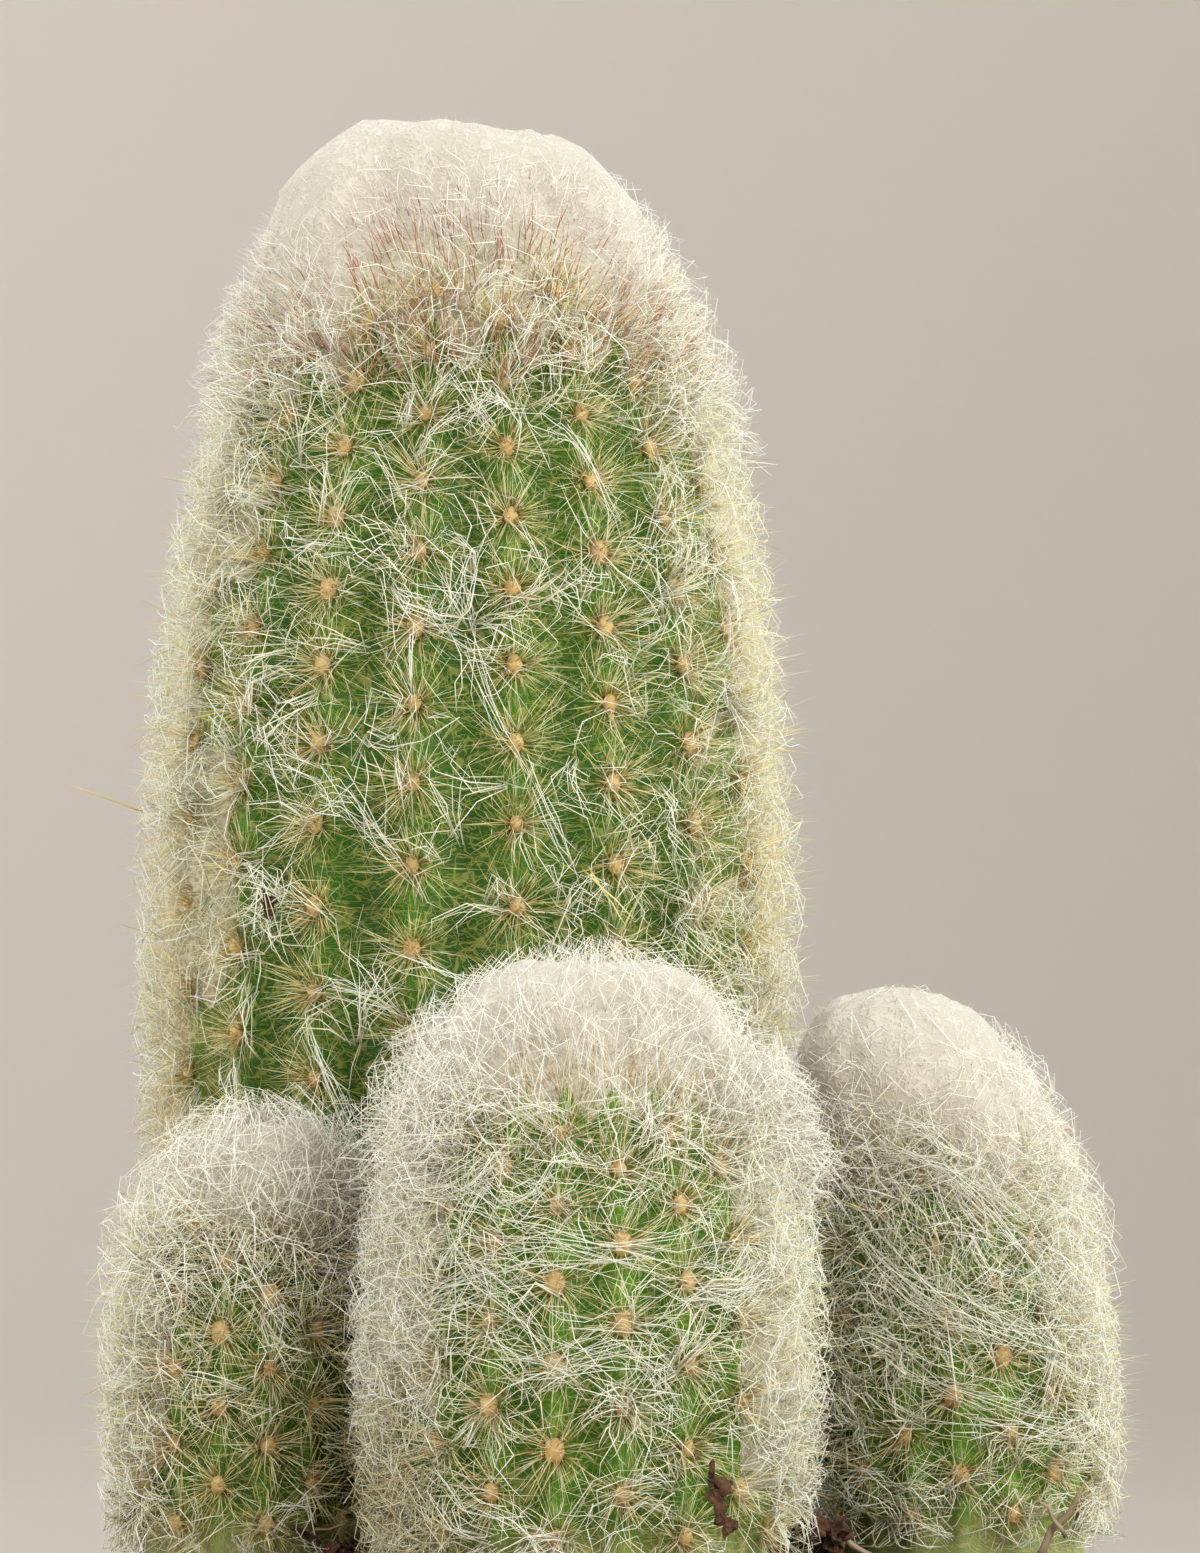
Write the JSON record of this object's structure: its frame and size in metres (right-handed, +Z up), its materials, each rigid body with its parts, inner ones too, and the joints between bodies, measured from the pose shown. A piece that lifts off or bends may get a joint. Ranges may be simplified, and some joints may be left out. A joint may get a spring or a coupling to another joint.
{
  "type": "potted old man cactus",
  "caption": "Woolly ribbed column cactus with short offsets round its foot, each capped in white wool, growing in soil in a plain round clay pot.",
  "frame": {"origin": "middle of the pot's foot, on the surface that it stands on", "axes": "+Z up along the pot's axis, -Y towards the front offset, +X towards the right-hand offset"},
  "size_m": [0.11, 0.11, 0.1989],
  "materials": {
    "clay": "matte",
    "soil": "matte",
    "flesh": "satin",
    "wool": "matte"
  },
  "bodies": {
    "root": {"pot": "clay", "soil": "soil", "main_stem": "flesh", "main_wool": "wool", "front_stem": "flesh", "front_wool": "wool", "left_stem": "flesh", "left_wool": "wool", "right_stem": "flesh", "right_wool": "wool"}
  },
  "joints": []
}
